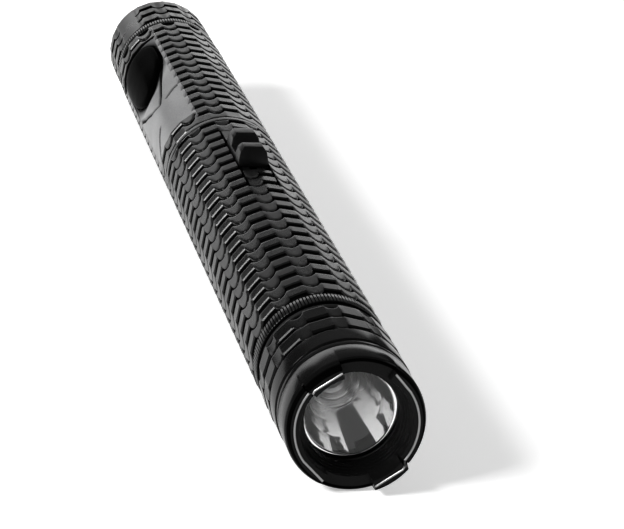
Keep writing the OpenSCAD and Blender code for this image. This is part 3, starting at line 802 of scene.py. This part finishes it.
def switch_knob():
    """Thumb knob with two tall ridges across it."""
    start, end = span("slide_knob")
    low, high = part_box("slide_knob")
    foot, top = (low.z - AXIS_Z) / MM, (high.z - AXIS_Z) / MM
    half = (high.x - low.x) / 2 / MM
    valley = 20.8
    side = [(start, foot), (start + 0.3, 21), (start + 0.9, top - 0.6), (start + 1.5, top),
            (start + 5.9, top), (start + 6.5, top - 0.6), (start + 7.4, valley + 0.4), (start + 8, valley),
            (end - 8.8, valley), (end - 8.2, valley + 0.4), (end - 7.4, top - 0.6), (end - 6.8, top),
            (end - 1.6, top), (end - 1, top - 0.6), (end, foot)]
    front = [(-half, foot), (half, foot), (half, 21), (half - 0.5, 23.4), (half - 1.7, top),
             (1.7 - half, top), (0.5 - half, 23.4), (-half, 21)]
    knob = prism("switch_knob", side, -half, half, "across")
    carve(knob, prism("knob_front", front, start - 1, end + 1, "station"), "INTERSECT")
    soften(knob, 0.3, 20)
    finish_piece(knob, "knob", NODE_SLOTS["slide_knob"], "slide_knob")


# ---- side panel and push button ----

BUTTON_MIDDLE = 266
BUTTON_OUTLINE = [(2.0, 240), (4.6, 244), (6.9, 250), (9.0, 257.5),
                  (10.2, 267), (10.2, 280), (8.4, 285), (5.5, 287.2)]  # one half, from front to rear


def smooth_outline(corners, count):
    """Closed smooth curve through corners, as a fixed number of points."""
    corners = np.array(corners, float)
    number = len(corners)
    between = 12  # points from one corner to the next
    points = []
    for k in range(number):
        p0, p1, p2, p3 = (corners[(k + i) % number] for i in (-1, 0, 1, 2))
        for q in np.linspace(0, 1, between, endpoint=False):
            points.append(0.5 * (2 * p1 + (p2 - p0) * q + (2 * p0 - 5 * p1 + 4 * p2 - p3) * q ** 2
                                 + (3 * p1 - p0 - 3 * p2 + p3) * q ** 3))
    points = np.array(points)
    steps = np.linalg.norm(np.diff(np.vstack([points, points[:1]]), axis=0), axis=1)
    reach = np.concatenate([[0], np.cumsum(steps)])
    wanted = np.linspace(0, reach[-1], count, endpoint=False)
    looped = np.vstack([points, points[:1]])
    return np.stack([np.interp(wanted, reach, looped[:, i]) for i in (0, 1)], -1)


def button_edge(grow=0.0, count=120):
    """Outline of the button as (across, station), drawn larger by grow."""
    other_half = [(-x, s) for x, s in reversed(BUTTON_OUTLINE)]
    curve = smooth_outline(BUTTON_OUTLINE + other_half, count)
    after = np.roll(curve, -1, axis=0) - np.roll(curve, 1, axis=0)
    outward = np.stack([after[:, 1], -after[:, 0]], -1)
    outward /= np.linalg.norm(outward, axis=1)[:, None]
    return curve + outward * grow


def segment_distance(x, y, a, b):
    """Distance of grid points from the segment between two points."""
    d = np.array(b, float) - np.array(a, float)
    along = np.clip(((x - a[0]) * d[0] + (y - a[1]) * d[1]) / (d @ d), 0, 1)
    return np.hypot(x - a[0] - along * d[0], y - a[1] - along * d[1])


def path_distance(x, y, path):
    """Distance of grid points from a line through several points."""
    return np.min([segment_distance(x, y, a, b) for a, b in zip(path, path[1:])], axis=0)


def panel_cover():
    """Smooth cover with engraved lines, dished towards the push button."""
    start, end = span("side_panel")
    half, radius, inner_r = 11.55, 19.2, 17.04
    line_depth, line_slope = 0.7, 0.4
    dish_depth, dish_reach = 0.9, 5.5
    across = np.linspace(-half, half, 100)
    stations = np.linspace(start, end, 400)
    x, s = np.meshgrid(across, stations)

    def on_panel(angle, station):
        """Place across the panel of an angle measured from its middle."""
        return -radius * math.sin(math.radians(angle)), station

    lines = [[(-36, 273), (-29.8, 257), (-22, 241.5), (-14, 227.5), (-9, 222),
              (6, 226), (21, 234.5), (34, 246)],
             [(-37, 227), (-20, 222)],
             [(3, 207), (12, 202), (22, 196), (31, 192)]]
    cut = np.zeros_like(x)
    for line in lines:
        distance = path_distance(x, s, [on_panel(*p) for p in line])
        cut = np.maximum(cut, line_depth * np.clip(2 - distance / line_slope, 0, 1))
    edge = button_edge(count=60)
    closed = np.vstack([edge, edge[:1]])
    near = path_distance(x, s, closed)
    dish = dish_depth * np.clip(1 - near / dish_reach, 0, 1) ** 1.6
    height = np.sqrt(np.maximum(radius ** 2 - x ** 2, 0)) - dish - cut
    under = np.sqrt(inner_r ** 2 - x ** 2)
    top = place_beside(x, s, height, PANEL_ANGLE)
    bottom = place_beside(x, s, under, PANEL_ANGLE)
    rows, columns = x.shape
    upper = grid_faces(rows, columns, False, False)
    total = rows * columns
    lower = [[i + total for i in face] for face in upper]
    index = np.arange(total).reshape(rows, columns)
    rim = np.concatenate([index[0, :], index[1:, -1], index[-1, -2::-1], index[-2:0:-1, 0]])
    walls = [[int(a), int(b), int(b) + total, int(a) + total] for a, b in zip(rim, np.roll(rim, -1))]
    cover = mesh_object("panel_cover", np.concatenate([top.reshape(-1, 3), bottom.reshape(-1, 3)]),
                        upper + lower + walls, 40)
    carve(cover, prism("hole", button_edge(0.35), 5, 30, "height", PANEL_ANGLE), sharp=40)
    finish_piece(cover, "housing", NODE_SLOTS["side_panel"], "side_panel")


def panel_teeth():
    """Smooth slopes from the cover up to the end of each rib."""
    inner, outer, foot = 11.5, 13.0, 14.4
    inner_top, outer_top, flare = 15.36, 15.15, 1.6
    points, faces = [], []
    bar = REAR_PITCH - BAR_GROOVE
    for k in range(REAR_GROOVES):
        low = REAR_FIRST_GROOVE + REAR_PITCH * k + BAR_GROOVE / 2
        for side in (-1, 1):
            corners = [(inner, low - flare), (inner, low + bar + flare), (outer, low + bar), (outer, low)]
            tops = [inner_top, inner_top, outer_top, outer_top]
            start = len(points)
            for heights in (tops, [foot] * 4):
                points += [place_beside(side * x, s, z, PANEL_ANGLE) for (x, s), z in zip(corners, heights)]
            box = [(0, 1, 2, 3), (7, 6, 5, 4), (0, 4, 5, 1), (1, 5, 6, 2), (2, 6, 7, 3), (3, 7, 4, 0)]
            faces += [tuple(start + i for i in face) for face in box]
    teeth = mesh_object("panel_teeth", points, faces)
    soften(teeth, 0.1)
    finish_piece(teeth, "housing", "smooth_grey_panel")


def thumb_button():
    """Large glossy button with a softly crowned top and a flange under the panel."""
    edge = button_edge()
    middle = np.array([0.0, BUTTON_MIDDLE])
    inner_r, flange_r, flange_grow = 14.9, 15.9, 0.8
    top_r, crown, rim_drop, rim_reach = 19.95, 0.25, 0.75, 0.12
    pocket_half, pocket_roof = 4.6, 14.92
    wide = button_edge(flange_grow)

    def level(outline, radius, drop=0.0):
        """A ring of points where an outline meets a radius."""
        height = np.sqrt(radius ** 2 - outline[:, 0] ** 2) - drop
        return place_beside(outline[:, 0], outline[:, 1], height, PANEL_ANGLE)

    rings = []
    for share in (0.02, 0.15, 0.3, 0.45, 0.6, 0.72, 0.82, 0.89, 0.94, 0.97, 0.99, 1.0):
        outline = middle + (edge - middle) * share
        drop = rim_drop * rounding(np.array(1 - share), rim_reach, 1.0) + crown * share ** 4
        rings.append(level(outline, top_r, drop))
    rings += [level(edge, flange_r + 0.3), level(wide, flange_r), level(wide, inner_r)]
    for share in (0.6, 0.3, 0.02):
        rings.append(level(middle + (wide - middle) * share, inner_r + 0.03))
    count = len(edge)
    faces = grid_faces(len(rings), count, False, True)
    last = (len(rings) - 1) * count
    faces += [list(range(count)), [last + i for i in reversed(range(count))]]
    button = mesh_object("thumb_button", np.concatenate(rings), faces, 50)
    low, high = span("button_spring")
    pocket = block("pocket", (-pocket_half, pocket_half), (low - 1, high + 1), (10, pocket_roof), PANEL_ANGLE)
    carve(button, pocket, sharp=50)
    finish_piece(button, "button", NODE_SLOTS["push_button"], "push_button")


# ---- tail ----

def tail_shell():
    """Tail cap with three wavy bands and a smooth patch."""
    start, end = span("tail_cap")
    pattern = Pattern(7.5, 7.5)
    radius, thread_r, bore_r = 19.74, 16.94, 14.5
    patch_drop = 0.003  # of the radius
    seal_low, seal_high, seal_r = 303.4, 305.4, 15.4
    floor_r = radius - FLOOR_DROP
    patch = (pattern.angles % 360 > 36) & (pattern.angles % 360 < 64)
    keep = patch.astype(float)
    pattern.flat = np.where(patch, patch_drop, pattern.flat)
    floor = np.where(patch, radius * (1 - pattern.flat), floor_r)
    seat = span("rear_knurled_ring")[1] + 0.3
    floor_inside = 329.3
    band_front = seat + 3 - 2.8 * pattern.arch
    rows = [(floor_inside, 0), (floor_inside, bore_r), (start, bore_r), (start, thread_r - 0.4),
            (start + 0.4, thread_r), (seal_low, thread_r), (seal_low, seal_r), (seal_high, seal_r),
            (seal_high, thread_r),
            (seat, thread_r), (seat, floor), (np.maximum(band_front - 0.1, seat), floor)]
    front = band_front
    for middle in (318.9, 327.7):
        ahead, behind = body_edges(middle, pattern, 4.4, 2.0)
        rows += rib_rows(front, ahead, pattern, radius, keep)
        rows += groove_rows(ahead, behind, floor)
        front = behind
    rows += rib_rows(front, np.full_like(front, end - 1.2), pattern, radius, 1.0)
    rows += [(end - 0.6, radius - 0.35), (end - 0.15, radius - 0.85), (end, radius - 1.2),
             (end, 15.0), (end - 0.35, 14.6), (end - 0.35, 0)]
    cap = tube("tail_shell", rows, pattern.angles, closed=False)
    finish_piece(cap, "cap", NODE_SLOTS["tail_cap"], "tail_cap")


# ---- scene ----

def studio():
    """Pale floor that gives off a little light of its own, and soft lights."""
    reach = 3.0
    corners = [(-reach, -reach, 0), (reach, -reach, 0), (reach, reach, 0), (-reach, reach, 0)]
    floor = mesh_object("floor", corners, [[0, 1, 2, 3]])
    pale, _, shader = node_material("pale_floor", (0.9, 0.9, 0.9), 0.7)
    shader.inputs["Emission Color"].default_value = (1, 1, 1, 1)
    shader.inputs["Emission Strength"].default_value = 0.5
    floor.data.materials.append(pale)
    world = bpy.data.worlds.new("studio")
    world.use_nodes = True
    background = world.node_tree.nodes["Background"]
    background.inputs["Color"].default_value = (1, 1, 1, 1)
    background.inputs["Strength"].default_value = 0.05
    bpy.context.scene.world = world
    bpy.context.scene.view_settings.view_transform = "Standard"
    bpy.context.scene.view_settings.gamma = 0.8
    middle = Vector((0, JOINT_Y + 0.15, AXIS_Z))  # a place near the middle of the light

    def softbox(name, direction, distance, width, height, radiance):
        """Area light that faces the object from a direction, with the radiance of its surface."""
        out = Vector(direction).normalized()
        data = bpy.data.lights.new(name, "AREA")
        data.shape = "RECTANGLE"
        data.size, data.size_y = width, height
        data.energy = radiance * math.pi * width * height
        lamp = bpy.data.objects.new(name, data)
        lamp.location = middle + out * distance
        lamp.rotation_mode = "QUATERNION"
        lamp.rotation_quaternion = out.to_track_quat("Z", "Y")
        bpy.context.scene.collection.objects.link(lamp)

    softbox("key", (-0.76, -0.32, 0.55), 3.0, 1.1, 0.65, 40)
    softbox("over", (0, 0.75, 0.85), 1.8, 2.8, 1.5, 0.35)
    softbox("back", (0.09, 1, 0.16), 1.5, 1.16, 0.48, 1.7)
    softbox("right", (0.85, -0.15, 0.5), 2.5, 1.6, 1.6, 2.4)


def camera():
    """Camera at a low front view, turned a little with the light's own roll."""
    azimuth, elevation, tilt = (math.radians(angle) for angle in (11.12, 20.42, 4.5))
    distance = 0.7768
    aim = Vector((0, 0.0192, 0.0236))
    forward = Vector((math.sin(azimuth) * math.cos(elevation), math.cos(azimuth) * math.cos(elevation),
                      -math.sin(elevation)))
    right = Vector((math.cos(azimuth), -math.sin(azimuth), 0))
    up = right.cross(forward)
    basis = Matrix((right, up, -forward)).transposed().to_4x4()
    basis.translation = aim - forward * distance
    data = bpy.data.cameras.new("camera")
    data.sensor_fit = "HORIZONTAL"
    data.sensor_width = 36
    data.lens = 155.77
    data.clip_end = 50
    view = bpy.data.objects.new("camera", data)
    view.matrix_world = Matrix.Translation((0, JOINT_Y, AXIS_Z)) @ Matrix.Rotation(-tilt, 4, "Y") @ basis
    bpy.context.scene.collection.objects.link(view)
    bpy.context.scene.camera = view


camera()
studio()
front_barrel()
rear_barrel()
knurled_ring("front_knurl", "front_knurled_ring")
knurled_ring("rear_knurl", "rear_knurled_ring")
seam_ring()
head_shell()
bezel_shell()
strip("strip_left", "bezel_strip_left", LIPS[0], LIPS[1])
strip("strip_right", "bezel_strip_right", LIPS[2], LIPS[3])
reflector_bowl()
led()
lens_disc()
switch_plate()
switch_knob()
panel_cover()
panel_teeth()
thumb_button()
tail_shell()
